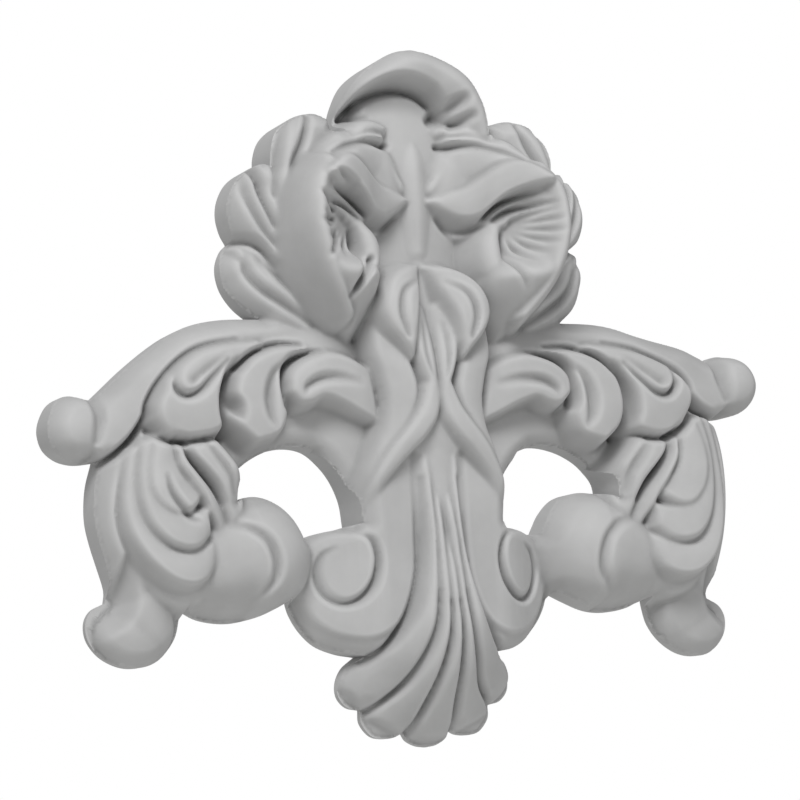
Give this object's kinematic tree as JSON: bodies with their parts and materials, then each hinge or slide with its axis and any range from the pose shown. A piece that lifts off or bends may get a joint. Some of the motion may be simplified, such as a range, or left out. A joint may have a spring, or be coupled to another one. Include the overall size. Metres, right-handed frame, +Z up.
{
  "type": "onlay applique",
  "caption": "Carved flat-backed onlay for a wall, mantel or furniture front: a crowned pair of cupped leaves over two scrolled wings, a pair of volutes and a fan",
  "frame": {"origin": "on the flat back face, midway between the two wings and midway between the crown and the foot of the fan", "axes": "+Z up along the middle line towards the crown, +X towards the right wing as seen from the front, +Y out of the back into the wall; the carving faces -Y"},
  "size_m": [0.3046, 0.0499, 0.2737],
  "materials": {
    "primed_casting": "matte light grey primer"
  },
  "bodies": {
    "root": {"onlay": "primed_casting"}
  },
  "joints": []
}
